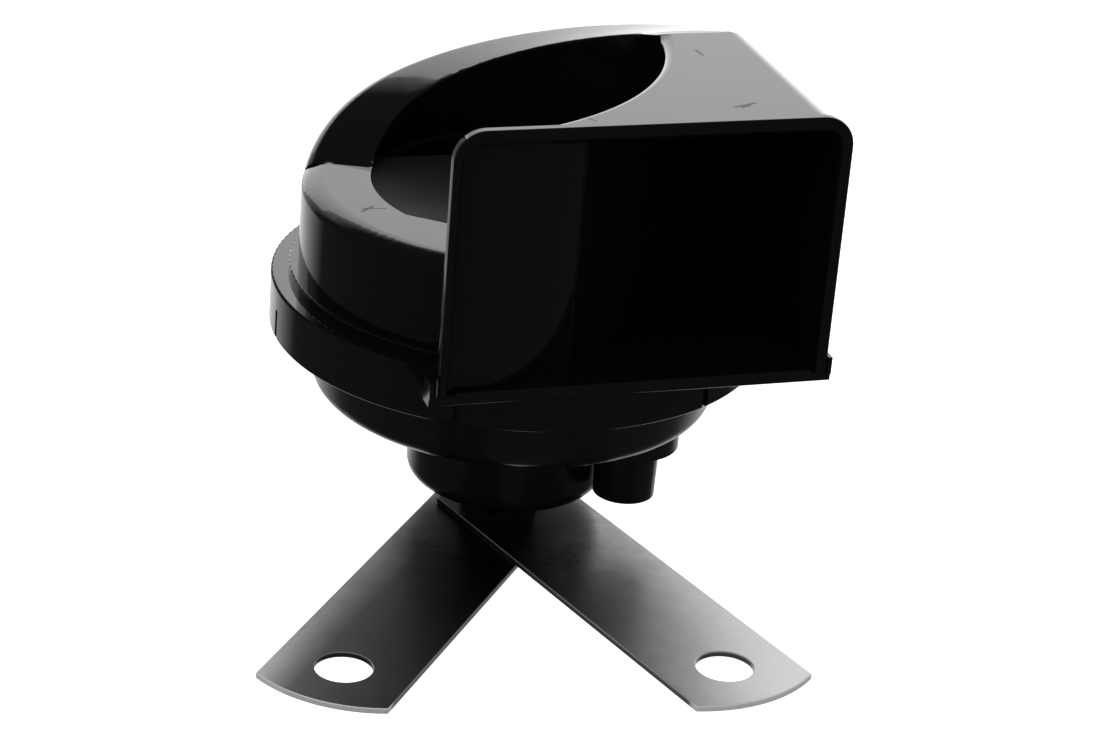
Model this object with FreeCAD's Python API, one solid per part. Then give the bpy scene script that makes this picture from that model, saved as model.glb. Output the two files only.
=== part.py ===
import FreeCAD, Part
import math
import os
from FreeCAD import Vector

# Snail horn for a car, with two mounting strips clamped under its cup.
# Millimetres. +Z points up along the horn's axis and the mouth faces -Y.
# Shapes are drawn with the axis at the origin, on top of the upper strip. They are
# saved with the right strip's bolt hole at the origin, because the horn hangs there.

# Mounting strips
strip_width = 22.0
strip_thickness = 1.0
strip_reach = 64.0
strip_bolt_hole = 9.0
strip_stud_hole = 8.4
strip_end_radius = 23.0
strip_end_beyond = 10.7
strip_root_beyond = 6.3
left_strip_turn = -39.0
right_strip_turn = 15.6

# Stud, core and the fasteners on the stud
stud_diameter = 8.0
stud_past_nut = 1.4
thin_nut_height = 4.0
stud_nut_height = 6.5
nut_across_flats = 13.0
lock_washer_thickness = 0.8
lock_washer_diameter = 15.0
lock_washer_teeth = 10
thread_chamfer = 0.8
core_diameter = 12.0
core_height = 17.0

# Drawn steel housing, a shallow pan with a deep cup in its middle
sheet = 1.0
cup_height = 16.5
cup_corner = 2.8
pan_height = 16.2
flange_width = 2.6
pan_slope = 0.172
pan_corner = 3.0
flange_diameter = 76.2
draw_radius = 1.2

# Diaphragm stack
gasket_thickness = 0.5
diaphragm_thickness = 0.4
gasket_width = 5.1

# Armature and its nut
armature_diameter = 12.0
armature_gap = 0.9
collar_diameter = 18.0
collar_thickness = 2.2
neck_diameter = 6.0
neck_nut_height = 3.0
neck_nut_across_flats = 10.0
neck_past_nut = 0.8
neck_clearance = 0.05

# Coil
bobbin_bore_clearance = 0.3
bobbin_wall = 1.0
bobbin_flange = 1.2
bobbin_height = 19.0
winding_depth = 5.95
winding_step = 0.5

# Trumpet base, one moulding with the throat, the slotted skirt and the floor of the mouth
base_thickness = 1.9
skirt_height = 8.6
skirt_wall = 2.2
skirt_clearance = 0.4
throat_diameter = 15.0
slot_count = 6
slot_width = 1.2
slot_height = 5.0
hook_width = 10.0
hook_height = 1.6
hook_bite = 0.7
fit_gap = 0.15
sill_height = 0.5
sill_depth = 1.5
lug_thickness = 0.6
lug_length = 3.2
lug_height = 2.4
lug_groove = 0.9
tongue_step = 0.3
base_edge_rounding = 0.35

# Snail trumpet, the moulded duct that winds once round the axis and opens at the mouth
rim_ledge = 2.9
foot_rim_width = 1.45
foot_rim_height = 1.5
foot_rim_rounding = 0.3
wall = 1.7
duct_width = 7.65
low_top = 16.3
roof_top = 41.2
crease_turn = 158.0
ramp_dip = 2.3
ramp_bend_turn = 115.0
inner_arc_radius = 51.4
inner_arc_crown = 3.4
top_rounding = 3.8
low_rounding = 2.0
low_rounding_width = 4.0
duct_rounding = 2.0
shelf_drop = 0.8
shelf_back = 16.0
well_floor = 5.0
recess_flat_turn = 232.3
recess_flat_distance = 22.3
channel_width = 12.0
channel_turn = 218.0
channel_end_turn = 300.0
mouth_reach = 1.95
mouth_width = 62.15
lip_depth = 1.6
lip_proud = 1.15
lip_side_proud = 0.8
lip_rounding = 0.5
lip_face_left = 1.1
lip_face_top = 1.8
lip_face_right = 1.9
flare_depth = 1.2

# Adjuster tower under the pan, and the contact breaker above it
tower_cup_gap = 0.4
tower_turn = -46.8
tower_diameter = 10.6
tower_length = 12.9
tower_taper = 0.2
tower_base_diameter = 16.6
tower_base_thickness = 3.6
tower_bore = 5.4
adjuster_diameter = 4.0
adjuster_recess = 2.5
adjuster_slot = 0.8
contact_width = 5.4
contact_rivet_diameter = 3.0
contact_stack_step = 4.8
fixed_arm_thickness = 0.8
moving_arm_thickness = 0.4
contact_point_diameter = 3.0
contact_point_height = 1.1
contact_point_step = 4.8
contact_post_height = 4.4

# Terminals at the back
terminal_turn = 90.0
terminal_block_width = 22.0
terminal_block_length = 12.0
terminal_block_height = 5.0
terminal_cup_gap = 0.3
blade_width = 6.3
blade_thickness = 0.8
blade_length = 18.0
blade_pitch = 11.0
terminal_rivet_diameter = 2.4
rivet_head = 0.8

# Spark resistor
resistor_diameter = 5.0
resistor_length = 14.0
resistor_turn = 180.0
resistor_cup_gap = 2.3
resistor_clip = 0.5

# Levels worked out from the sizes above
cup_bottom = thin_nut_height
pan_bottom = cup_bottom + cup_height
flange_top = pan_bottom + pan_height
diaphragm_bottom = flange_top + gasket_thickness
diaphragm_top = diaphragm_bottom + diaphragm_thickness
base_bottom = diaphragm_top + gasket_thickness
base_top = base_bottom + base_thickness
pan_floor = pan_bottom + sheet
cup_floor = cup_bottom + sheet
core_top = cup_floor + core_height
armature_bottom = core_top + armature_gap
strip_stack = 2 * strip_thickness
bobbin_barrel_diameter = core_diameter + 2 * (bobbin_bore_clearance + bobbin_wall)
winding_diameter = bobbin_barrel_diameter + 2 * winding_depth
bobbin_flange_diameter = winding_diameter + 2 * winding_step
cup_floor_diameter = bobbin_flange_diameter + 2 * fit_gap
cup_diameter = cup_floor_diameter + 2 * cup_corner
pan_spread = pan_slope * (pan_height - sheet)
pan_foot_diameter = flange_diameter - 2 * (flange_width + pan_spread)
gasket_inner_diameter = flange_diameter - 2 * gasket_width
tower_radius_from_axis = (cup_diameter + tower_diameter) / 2 + tower_cup_gap
contact_stack_radius = tower_radius_from_axis + contact_stack_step
contact_point_radius = tower_radius_from_axis - contact_point_step
terminal_block_radius = cup_diameter / 2 + draw_radius + terminal_cup_gap
resistor_radius = (cup_diameter + resistor_diameter) / 2 + resistor_clip + resistor_cup_gap
base_diameter = flange_diameter + 2 * (skirt_clearance + skirt_wall)
foot_rim_diameter = base_diameter - 2 * rim_ledge
snail_radius = foot_rim_diameter / 2 - foot_rim_width
well_radius = snail_radius - 2 * wall - duct_width
mouth_distance = base_diameter / 2 + mouth_reach
mouth_left = snail_radius - mouth_width
lip_back = mouth_distance - lip_depth
inner_arc_x = well_radius - inner_arc_crown - inner_arc_radius
inner_arc_y = math.sqrt(inner_arc_radius ** 2 - (mouth_left - inner_arc_x) ** 2) - lip_back
origin = Vector(0, 0, 0)
up = Vector(0, 0, 1)


def point_at(radius, turn, z=0.0):
    """Point at a radius and a turn in degrees, counted from +X towards +Y."""
    angle = math.radians(turn)
    return Vector(radius * math.cos(angle), radius * math.sin(angle), z)


def disc(diameter, bottom, top, x=0.0, y=0.0):
    return Part.makeCylinder(diameter / 2, top - bottom, Vector(x, y, bottom))


def tube(outer, inner, bottom, top):
    return disc(outer, bottom, top).cut(disc(inner, bottom - 1, top + 1))


def block(x0, x1, y0, y1, z0, z1):
    return Part.makeBox(x1 - x0, y1 - y0, z1 - z0, Vector(x0, y0, z0))


def turned(shape, degrees):
    copy = shape.copy()
    copy.rotate(origin, up, degrees)
    return copy


def revolved(points):
    """Solid of revolution about the axis from (radius, height) points."""
    corners = [Vector(radius, 0, z) for radius, z in points]
    face = Part.Face(Part.makePolygon(corners + corners[:1]))
    return face.revolve(origin, up, 360)


def hexagon(across_flats, bottom, top, turn=0.0):
    """Hexagonal nut blank with both faces chamfered to a circle."""
    corner = across_flats / math.sqrt(3)
    points = [point_at(corner, 60 * index + turn, bottom) for index in range(7)]
    blank = Part.Face(Part.makePolygon(points)).extrude(Vector(0, 0, top - bottom))
    bevel = corner - across_flats / 2
    cone = revolved([
        (0, bottom),
        (across_flats / 2, bottom),
        (corner, bottom + bevel / 2),
        (corner, top - bevel / 2),
        (across_flats / 2, top),
        (0, top),
    ])
    return blank.common(cone)


def rounded(shape, radius, chosen):
    """Round the edges of a shape that a test picks."""
    edges = [edge for edge in shape.Edges if chosen(edge)]
    return shape.makeFillet(radius, edges)


def save(name, shape):
    """Write a piece with the right strip's bolt hole moved to the origin."""
    hole = point_at(strip_reach, right_strip_turn - 90)
    moved = shape.copy()
    moved.translate(hole.negative())
    moved.exportStep("parts/" + name + ".step")


def mounting_strip(turn, top):
    """Flat strip with a stud hole, a bolt hole and two shallow round ends.

    It is drawn along -Y and turned about the stud."""
    half = strip_width / 2
    sag = strip_end_radius - math.sqrt(strip_end_radius ** 2 - half ** 2)
    far_tip = -(strip_reach + strip_end_beyond)
    near_tip = strip_root_beyond
    bottom = top - strip_thickness
    far_left = Vector(-half, far_tip + sag, bottom)
    far_right = Vector(half, far_tip + sag, bottom)
    near_left = Vector(-half, near_tip - sag, bottom)
    near_right = Vector(half, near_tip - sag, bottom)
    outline = Part.Wire([
        Part.Arc(far_left, Vector(0, far_tip, bottom), far_right).toShape(),
        Part.LineSegment(far_right, near_right).toShape(),
        Part.Arc(near_right, Vector(0, near_tip, bottom), near_left).toShape(),
        Part.LineSegment(near_left, far_left).toShape(),
    ])
    strip = Part.Face(outline).extrude(Vector(0, 0, strip_thickness))
    strip = strip.cut(disc(strip_stud_hole, bottom - 1, top + 1))
    strip = strip.cut(disc(strip_bolt_hole, bottom - 1, top + 1, 0, -strip_reach))
    return turned(strip, turn)


def lock_washer():
    """Thin washer with a ring of teeth cut into its rim."""
    top = -strip_stack
    bottom = top - lock_washer_thickness
    washer = tube(lock_washer_diameter, strip_stud_hole, bottom, top)
    rim = lock_washer_diameter / 2
    notch = block(rim - 1.6, rim + 1, -0.9, 0.9, bottom - 1, top + 1)
    for index in range(lock_washer_teeth):
        washer = washer.cut(turned(notch, 360 / lock_washer_teeth * index))
    return washer


def stud_nut():
    top = -strip_stack - lock_washer_thickness
    bottom = top - stud_nut_height
    middle = (left_strip_turn + right_strip_turn) / 2
    nut = hexagon(nut_across_flats, bottom, top, middle - 90 + 30)
    return nut.cut(disc(stud_diameter, bottom - 1, top + 1))


def core_nut():
    nut = hexagon(nut_across_flats, 0, thin_nut_height)
    return nut.cut(disc(stud_diameter, -1, thin_nut_height + 1))


def core_stud():
    """Fixed core of the magnet, turned in one piece with its mounting stud."""
    low = -strip_stack - lock_washer_thickness - stud_nut_height - stud_past_nut
    stud = stud_diameter / 2
    core = core_diameter / 2
    return revolved([
        (0, low),
        (stud - thread_chamfer, low),
        (stud, low + thread_chamfer),
        (stud, cup_floor),
        (core, cup_floor),
        (core, core_top - thread_chamfer),
        (core - thread_chamfer, core_top),
        (0, core_top),
    ])


def housing_inside():
    """Room inside the pan and cup, with flat corners where the sheet turns."""
    cup = cup_diameter / 2 - sheet
    foot = pan_foot_diameter / 2 - sheet
    lip = foot + pan_slope * (flange_top - pan_floor)
    cup_bend = (cup_corner - sheet) * 0.6
    foot_bend = (pan_corner - sheet) * 0.6
    draw_bend = draw_radius * 0.6
    return revolved([
        (0, cup_floor),
        (cup - cup_bend, cup_floor),
        (cup, cup_floor + cup_bend),
        (cup, pan_floor - draw_bend),
        (cup + draw_bend, pan_floor),
        (foot - foot_bend, pan_floor),
        (foot + pan_slope * foot_bend, pan_floor + foot_bend),
        (lip, flange_top),
        (lip, flange_top + 1),
        (0, flange_top + 1),
    ])


def housing():
    """Deep drawn pan and cup, with the stud hole in the cup's bottom."""
    cup = cup_diameter / 2
    foot = pan_foot_diameter / 2
    flange = flange_diameter / 2
    under_flange = flange_top - sheet
    lip = foot + pan_slope * (under_flange - pan_bottom)
    outside = revolved([
        (0, cup_bottom),
        (cup, cup_bottom),
        (cup, pan_bottom),
        (foot, pan_bottom),
        (lip, under_flange),
        (flange, under_flange),
        (flange, flange_top),
        (0, flange_top),
    ])
    outside = round_circles(outside, [
        (cup, cup_bottom, cup_corner),
        (cup, pan_bottom, draw_radius),
        (foot, pan_bottom, pan_corner),
        (lip, under_flange, draw_radius),
    ])
    inside = housing_inside()
    shell = outside.cut(inside)
    shell = shell.cut(disc(stud_diameter + 2 * fit_gap, cup_bottom - 1, cup_floor + 1))
    tower = point_at(tower_radius_from_axis, tower_turn)
    shell = shell.cut(disc(adjuster_diameter, pan_bottom - 1, pan_floor + 1, tower.x, tower.y))
    for place in rivet_places():
        hole = disc(terminal_rivet_diameter, pan_bottom - 1, pan_floor + 1, place.x, place.y)
        shell = shell.cut(hole)
    return shell


def round_circles(shape, rings):
    """Round the circular edges named by radius, height and rounding."""
    for radius, height, rounding in rings:
        edges = []
        for edge in shape.Edges:
            curve = edge.Curve
            if not isinstance(curve, Part.Circle):
                continue
            same_radius = abs(curve.Radius - radius) < 0.01
            same_height = abs(curve.Center.z - height) < 0.01
            if same_radius and same_height:
                edges.append(edge)
        shape = shape.makeFillet(rounding, edges)
    return shape


def gasket(bottom):
    return tube(flange_diameter, gasket_inner_diameter, bottom, bottom + gasket_thickness)


def diaphragm():
    hole = neck_diameter + 2 * neck_clearance
    return tube(flange_diameter, hole, diaphragm_bottom, diaphragm_top)


def armature():
    """Plunger with a collar under the diaphragm and a threaded neck through it."""
    body = armature_diameter / 2
    collar = collar_diameter / 2
    neck = neck_diameter / 2
    collar_bottom = diaphragm_bottom - collar_thickness
    neck_top = diaphragm_top + neck_nut_height + neck_past_nut
    return revolved([
        (0, armature_bottom),
        (body - thread_chamfer, armature_bottom),
        (body, armature_bottom + thread_chamfer),
        (body, collar_bottom),
        (collar, collar_bottom),
        (collar, diaphragm_bottom),
        (neck, diaphragm_bottom),
        (neck, neck_top - thread_chamfer),
        (neck - thread_chamfer, neck_top),
        (0, neck_top),
    ])


def armature_nut():
    nut = hexagon(neck_nut_across_flats, diaphragm_top, diaphragm_top + neck_nut_height)
    return nut.cut(disc(neck_diameter, diaphragm_top - 1, diaphragm_top + neck_nut_height + 1))


def coil_bobbin():
    bore = core_diameter / 2 + bobbin_bore_clearance
    barrel = bobbin_barrel_diameter / 2
    flange = bobbin_flange_diameter / 2
    top = cup_floor + bobbin_height
    return revolved([
        (bore, cup_floor),
        (flange, cup_floor),
        (flange, cup_floor + bobbin_flange),
        (barrel, cup_floor + bobbin_flange),
        (barrel, top - bobbin_flange),
        (flange, top - bobbin_flange),
        (flange, top),
        (bore, top),
    ])


def coil_winding():
    bottom = cup_floor + bobbin_flange
    top = cup_floor + bobbin_height - bobbin_flange
    return tube(winding_diameter, bobbin_barrel_diameter, bottom, top)


def skirt_slots():
    """Narrow slots that run up the skirt from its lower edge."""
    rim = base_diameter / 2
    bottom = base_top - skirt_height
    slot = block(
        rim - skirt_wall - 1, rim + 1,
        -slot_width / 2, slot_width / 2,
        bottom - 1, bottom + slot_height,
    )
    return [turned(slot, 360 / slot_count * index) for index in range(slot_count)]


def snap_hooks():
    """Hooks inside the skirt that hold the housing's flange from below."""
    inner = base_diameter / 2 - skirt_wall
    top = flange_top - sheet - fit_gap
    nose = flange_diameter / 2 - hook_bite
    ring = revolved([
        (nose, top),
        (inner + 0.5, top),
        (inner + 0.5, top - 2 * hook_height),
        (inner, top - 2 * hook_height),
        (nose, top - hook_height),
    ])
    sector = block(0, base_diameter, -hook_width / 2, hook_width / 2, 0, base_top)
    hook = ring.common(sector)
    step = 360 / slot_count
    return [turned(hook, step * (index + 0.5)) for index in range(slot_count)]


def mouth_right():
    """Outer face of the mouth's lip on the straight side of the duct."""
    return snail_radius + lip_side_proud


def trumpet_base():
    """Floor of the duct, with the throat, the skirt that clips on, and the mouth's tongue."""
    rim = base_diameter
    skirt_low = base_top - skirt_height
    plate = disc(rim, skirt_low, base_top)
    plate = round_circles(plate, [
        (rim / 2, skirt_low, base_edge_rounding),
        (rim / 2, base_top, base_edge_rounding),
    ])
    plate = plate.cut(disc(rim - 2 * skirt_wall, skirt_low - 1, base_bottom))
    left = mouth_left - lug_groove - lug_thickness
    right = mouth_right() + fit_gap + lug_thickness
    body = plate.fuse([tongue(left, right)] + snap_hooks())
    body = body.cut(disc(throat_diameter, base_bottom - 1, base_top + 1))
    for slot in skirt_slots():
        body = body.cut(slot)
    front = -mouth_distance
    back = front + lug_length
    lug_low = base_top - 0.5
    lug_top = base_top + lug_height
    left_lug = block(left, left + lug_thickness, front, back, lug_low, lug_top)
    right_lug = block(right - lug_thickness, right, front, back, lug_low, lug_top)
    return body.fuse([left_lug, right_lug, sill()]).removeSplitter()


def sill():
    """Low step across the front of the mouth's floor, clear of the duct's walls."""
    front = -mouth_distance
    right = snail_radius - wall - fit_gap
    top = base_top + sill_height
    bar = block(mouth_left + wall, right, front, front + sill_depth, base_top - 0.5, top)
    return bar.cut(arc_disc(inner_arc_radius + wall + fit_gap, base_bottom, top + 1))


def tongue(left, right):
    """Flat tongue under the mouth, with sides that run back to the round plate."""
    radius = base_diameter / 2
    back_left = -math.sqrt(radius ** 2 - left ** 2) + 1
    back_right = -math.sqrt(radius ** 2 - right ** 2) + 1
    low = base_bottom + tongue_step
    corners = [
        Vector(left, -mouth_distance, low),
        Vector(right, -mouth_distance, low),
        Vector(right, back_right, low),
        Vector(left, back_left, low),
    ]
    outline = Part.makePolygon(corners + corners[:1])
    plate = Part.Face(outline).extrude(Vector(0, 0, base_top - low))
    return rounded(plate, base_edge_rounding, lambda edge: edge.BoundBox.YMax < -lip_back)


def ramp_height(turn):
    """Height of the duct's roof above the base, falling from the straight part to the crease."""
    slope = (roof_top - low_top - ramp_dip) / crease_turn
    bend = max(0, turn - ramp_bend_turn) / (crease_turn - ramp_bend_turn)
    return roof_top - slope * turn - ramp_dip * bend ** 2


def above_the_ramp(drop):
    """Everything over the rising roof, lowered by a drop, to cut the roof's shape with."""
    steps = 16
    turns = [crease_turn * index / steps for index in range(steps + 1)]
    rails = []
    for radius in (well_radius * 0.6, snail_radius * 1.2):
        points = [point_at(radius, turn, base_top + ramp_height(turn) - drop) for turn in turns]
        curve = Part.BSplineCurve()
        curve.interpolate(points)
        rails.append(curve.toShape())
    roof = Part.makeRuledSurface(rails[0], rails[1])
    return roof.extrude(Vector(0, 0, 2 * roof_top))


def arc_disc(radius, bottom, top):
    """Disc whose rim is the curved inner wall that sweeps from the well to the mouth."""
    return disc(2 * radius, bottom, top, inner_arc_x, inner_arc_y)


def well_prism(inset, bottom, top):
    """Room inside the turns of the duct: the round well, cut by the sweeping inner wall."""
    well = disc(2 * (well_radius + inset), bottom, top)
    return well.common(arc_disc(inner_arc_radius + inset, bottom, top))


def rising_turn(inset, bottom):
    """Turn of the duct from the crease, round the back, to the straight part."""
    roof = base_top + roof_top - inset
    height = roof - bottom
    sector = Part.makeCylinder(
        snail_radius - inset, height, Vector(0, 0, bottom), up, crease_turn
    )
    sector = sector.cut(well_prism(inset, bottom - 1, roof + 1))
    return sector.cut(above_the_ramp(inset))


def straight_run(inset, bottom):
    """Straight end of the duct, between the outer wall and the sweeping inner wall."""
    roof = base_top + roof_top - inset
    left = mouth_left + inset
    box = block(left, snail_radius - inset, -mouth_distance, 0, bottom, roof)
    return box.cut(arc_disc(inner_arc_radius + inset, bottom - 1, roof + 1))


def duct_start_turn():
    """Turn at which the duct begins, on the far side of the throat's channel."""
    half = channel_width / 2
    return channel_turn + math.degrees(math.asin(half / (well_radius + wall)))


def sector(radius, first_turn, last_turn, bottom, top):
    sweep = last_turn - first_turn
    wedge = Part.makeCylinder(radius, top - bottom, Vector(0, 0, bottom), up, sweep)
    return turned(wedge, first_turn)


def low_turn(inset, bottom):
    """Low first part of the duct, from the throat's channel to the crease."""
    top = base_top + low_top - inset
    outer = sector(snail_radius - inset, crease_turn, duct_start_turn(), bottom, top)
    ring = outer.cut(disc(2 * (well_radius + inset), bottom - 1, top + 1))
    return ring.common(arc_disc(inner_arc_radius - inset, bottom, top))


def channel(extra, bottom, top):
    """Channel from the throat out to the low turn."""
    half = channel_width / 2 + extra
    reach = well_radius + 2 * wall
    arm = turned(block(0, reach, -half, half, bottom, top), channel_turn)
    return arm.fuse(disc(throat_diameter + 2 + 2 * extra, bottom, top))


def duct_room():
    """All the air inside the trumpet, opening at the throat and at the mouth."""
    low = base_top - 1
    rising = rising_turn(wall, low)
    run = straight_run(wall, low)
    air = rising.fuse([run, low_turn(wall, low), channel(0, low, shelf_under())])
    edge = base_top + roof_top - wall
    roof_edges = []
    for item in air.Edges:
        box = item.BoundBox
        level = box.ZMin > edge - 0.01
        side = box.XMin > snail_radius - wall - 0.01
        if level and side:
            roof_edges.append(item)
    air = air.makeFillet(duct_rounding, roof_edges)
    return air.fuse(mouth_flare())


def shelf_level():
    return base_top + low_top - shelf_drop


def shelf_under():
    """Underside of the shelf that closes the well."""
    return shelf_level() - wall


def rear_floor():
    return base_top + well_floor


def shelf_pockets():
    """Pockets moulded under the shelf and the well's floor, beside the channel."""
    low = base_top - 1
    top = shelf_under()
    start = duct_start_turn() + math.degrees(wall / well_radius)
    front = sector(snail_radius - wall, start, channel_end_turn, low, top)
    front = front.common(arc_disc(inner_arc_radius, low, top))
    room = well_prism(0, low, top).fuse(front)
    behind = block(-well_radius, well_radius, shelf_back - wall, well_radius, low - 1, top + 1)
    under_floor = behind.common(well_prism(0, low, rear_floor() - wall))
    under_floor = under_floor.cut(block(-well_radius, well_radius, 0, shelf_back, low - 1, top))
    room = room.cut(behind).fuse(under_floor)
    return room.cut(channel(wall, low - 1, top + 1))


def outer_top_edges(shape, lowest):
    """Edges at the outside of a turn of the duct, above a level."""
    chosen = []
    for edge in shape.Edges:
        middle = edge.valueAt((edge.FirstParameter + edge.LastParameter) / 2)
        box = edge.BoundBox
        outside = math.hypot(middle.x, max(0, middle.y)) > snail_radius - 0.05
        lies_along = box.XLength > 1 or box.YLength > 1
        if outside and lies_along and box.ZMin > lowest - 0.05:
            chosen.append(edge)
    return chosen


def low_form():
    """Low part of the trumpet, a disc whose band falls away to the side in a flat curve."""
    band = base_top + low_top
    rim = Vector(snail_radius, 0, band - low_rounding)
    shoulder = Vector(snail_radius - low_rounding_width, 0, band)
    centre = Vector(shoulder.x, 0, rim.z)
    curve = Part.ArcOfEllipse(Part.Ellipse(rim, shoulder, centre), 0, math.pi / 2).toShape()
    foot = Vector(snail_radius, 0, base_top)
    corners = [shoulder, Vector(0, 0, band), Vector(0, 0, base_top), foot, rim]
    outline = Part.Wire([curve] + Part.makePolygon(corners).Edges)
    return Part.Face(outline).revolve(origin, up, 360)


def outer_form():
    """Outside of the trumpet, whose top edge is rounded less towards the crease."""
    band = base_top + low_top
    rising = rising_turn(0, base_top)
    rising = rising.makeFillet(low_rounding, top_rounding, outer_top_edges(rising, band))
    front = straight_run(0, base_top)
    front = front.makeFillet(top_rounding, outer_top_edges(front, base_top + roof_top))
    return low_form().fuse([rising, front]).removeSplitter()


def gate(left, right, top, corner, distance):
    """Outline of the mouth in an upright plane: straight sides and two rounded top corners."""
    low = base_top
    y = -distance
    lean = corner * (1 - math.sqrt(0.5))
    foot_left = Vector(left, y, low)
    side_left = Vector(left, y, top - corner)
    over_left = Vector(left + corner, y, top)
    over_right = Vector(right - corner, y, top)
    side_right = Vector(right, y, top - corner)
    foot_right = Vector(right, y, low)
    left_middle = Vector(left + lean, y, top - lean)
    right_middle = Vector(right - lean, y, top - lean)
    return Part.Wire([
        Part.LineSegment(foot_left, side_left).toShape(),
        Part.Arc(side_left, left_middle, over_left).toShape(),
        Part.LineSegment(over_left, over_right).toShape(),
        Part.Arc(over_right, right_middle, side_right).toShape(),
        Part.LineSegment(side_right, foot_right).toShape(),
        Part.LineSegment(foot_right, foot_left).toShape(),
    ])


def mouth_flare():
    """Short flare that widens the duct to the front edge of the lip."""
    front = gate(
        mouth_left + lip_face_left,
        mouth_right() - lip_face_right,
        base_top + roof_top + lip_proud - lip_face_top,
        duct_rounding + 1,
        mouth_distance,
    )
    back = gate(
        mouth_left + wall,
        snail_radius - wall,
        base_top + roof_top - wall,
        duct_rounding,
        mouth_distance - flare_depth,
    )
    return Part.makeLoft([front, back], True, True)


def mouth_lip():
    """Raised lip round the mouth, with rounded top corners and a soft front edge."""
    top = base_top + roof_top + lip_proud
    corner = top_rounding + lip_proud
    outline = gate(mouth_left, mouth_right(), top, corner, mouth_distance)
    lip = Part.Face(outline).extrude(Vector(0, lip_depth, 0))
    front_edges = []
    for edge in lip.Edges:
        box = edge.BoundBox
        if box.YMax < -mouth_distance + 0.01 and box.ZMax > base_top + 1:
            front_edges.append(edge)
    return lip.makeFillet(lip_rounding, front_edges)


def foot_rim():
    """Low rim round the shell's foot, which sits on the base plate."""
    top = base_top + foot_rim_height
    radius = foot_rim_diameter / 2
    ring = disc(foot_rim_diameter, base_top, top)
    ring = round_circles(ring, [(radius, top, foot_rim_rounding)])
    ring = ring.cut(block(0, 2 * radius, -2 * radius, 0, base_top - 1, top + 1))
    back = -mouth_distance + lug_length + fit_gap
    straight = block(snail_radius - wall, radius, back, 0, base_top, top)
    return ring.fuse(straight)


def shelf_recess():
    """Shallow recess with one flat side, which leaves the shelf lower than the band round it."""
    level = shelf_level()
    top = level + roof_top
    room = disc(2 * well_radius, level, top)
    reach = 2 * well_radius
    kept = block(-reach, recess_flat_distance, -reach, reach, level - 1, top + 1)
    room = room.common(turned(kept, recess_flat_turn))
    room = room.common(arc_disc(inner_arc_radius, level, top))
    return room.cut(rising_turn(0, base_top))


def snail_shell():
    """Moulded upper shell of the trumpet, open below and at the mouth."""
    form = outer_form().fuse([foot_rim(), mouth_lip()])
    well = well_prism(0, rear_floor(), base_top + 2 * roof_top)
    reach = 2 * well_radius
    back = block(-reach, reach, shelf_back, reach, base_top, base_top + 2 * roof_top)
    form = form.cut(shelf_recess()).cut(well.common(back))
    form = form.cut(duct_room())
    return form.cut(shelf_pockets())


def tower_frame(shape):
    """Place a shape that was drawn at the adjuster's own axis."""
    place = point_at(tower_radius_from_axis, tower_turn)
    copy = shape.copy()
    copy.rotate(origin, up, tower_turn)
    copy.translate(place)
    return copy


def adjuster_tower():
    """Round moulded post with a wide base, bored for the adjusting screw."""
    radius = tower_diameter / 2
    base = tower_base_diameter / 2
    bore = tower_bore / 2
    low = pan_bottom - tower_length
    foot = pan_bottom - tower_base_thickness
    body = revolved([
        (bore, low),
        (radius - tower_taper, low),
        (radius, foot),
        (base, foot),
        (base, pan_bottom),
        (bore, pan_bottom),
    ])
    cup_room = disc(cup_diameter + 2 * fit_gap, low, pan_bottom + 1)
    bend = draw_radius + fit_gap
    bend_room = disc(cup_diameter + 2 * bend, pan_bottom - bend, pan_bottom + 1)
    return tower_frame(body).cut(cup_room.fuse(bend_room))


def adjusting_screw():
    low = pan_bottom - tower_length + adjuster_recess
    top = arm_level()
    screw = disc(adjuster_diameter, low, top)
    half = adjuster_slot / 2
    slot = block(-adjuster_diameter, adjuster_diameter, -half, half, low - 1, low + adjuster_slot)
    return tower_frame(screw.cut(slot))


def arm_level():
    """Underside of the fixed contact arm."""
    return pan_floor + contact_post_height


def moving_arm_level():
    """Underside of the moving contact arm."""
    gap = 2 * contact_point_height
    return arm_level() + fixed_arm_thickness + gap


def stack_tube(bottom, top):
    ring = tube(contact_width, contact_rivet_diameter, bottom, top)
    ring.translate(Vector(contact_stack_radius, 0, 0))
    return turned(ring, tower_turn)


def contact_post():
    """Metal foot that carries the contact stack on the pan's floor."""
    return stack_tube(pan_floor, arm_level())


def contact_spacer():
    return stack_tube(arm_level() + fixed_arm_thickness, moving_arm_level())


def contact_rivet():
    top = moving_arm_level() + moving_arm_thickness
    shank = disc(contact_rivet_diameter, pan_floor, top)
    head = disc(contact_width, top, top + rivet_head)
    rivet = shank.fuse(head).removeSplitter()
    rivet.translate(Vector(contact_stack_radius, 0, 0))
    return turned(rivet, tower_turn)


def fixed_contact_arm():
    half = contact_width / 2
    inner = contact_point_radius - half
    arm = block(inner, contact_stack_radius + half, -half, half, arm_level(),
                arm_level() + fixed_arm_thickness)
    hole = disc(contact_rivet_diameter, arm_level() - 1, arm_level() + 2, contact_stack_radius, 0)
    return turned(arm.cut(hole), tower_turn)


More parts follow.
